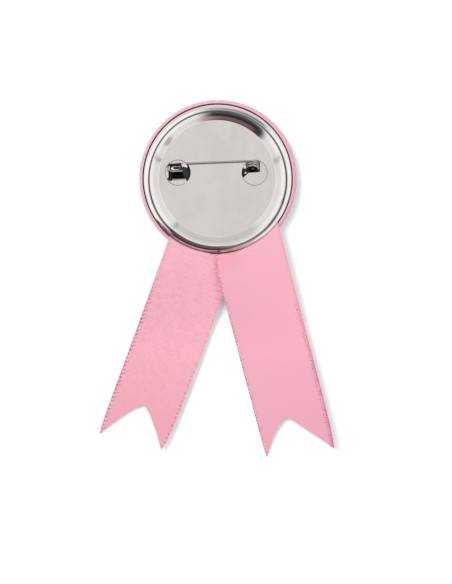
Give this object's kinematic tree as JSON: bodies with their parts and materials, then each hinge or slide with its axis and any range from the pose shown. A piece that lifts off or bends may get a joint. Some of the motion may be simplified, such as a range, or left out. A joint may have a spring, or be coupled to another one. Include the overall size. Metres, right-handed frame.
{
  "type": "ribbon pin",
  "caption": "Round button badge with a pink covered face, a bright metal back with a hinged wire pin and catch, and satin ribbon tails cut to swallowtail ends.",
  "frame": {"origin": "the middle of the domed front, where it touches the surface that the badge lies on, face down", "axes": "+Z out of the pinned back, +Y up the badge, away from the ribbon tails, and +X towards the pin's hinge"},
  "size_m": [0.0864, 0.1317, 0.0083],
  "materials": {
    "pink_cover": "tin plate under a pale pink film, half gloss",
    "tinplate": "bright tin plate, lightly brushed by handling",
    "base_metal": "bright tin plate, stamped and folded",
    "pin_wire": "drawn steel wire, polished",
    "left_satin": "pale pink satin with a dotted ribbed back and a stitched edge",
    "right_satin": "pale pink satin, smooth side up, with fine cross threads"
  },
  "bodies": {
    "badge": {"shell": "pink_cover", "back_plate": "tinplate", "pin_base": "base_metal", "ribbon_left": "left_satin", "ribbon_right": "right_satin"},
    "pin": {"pin": "pin_wire"}
  },
  "joints": [
    {"name": "pin_hinge", "type": "hinge", "parent": "badge", "child": "pin", "pos_m": [0.01265, 0.0056, 0.00429], "axis": [-0.038, 0.9055, -0.4226], "range_deg": [0, 70]}
  ]
}
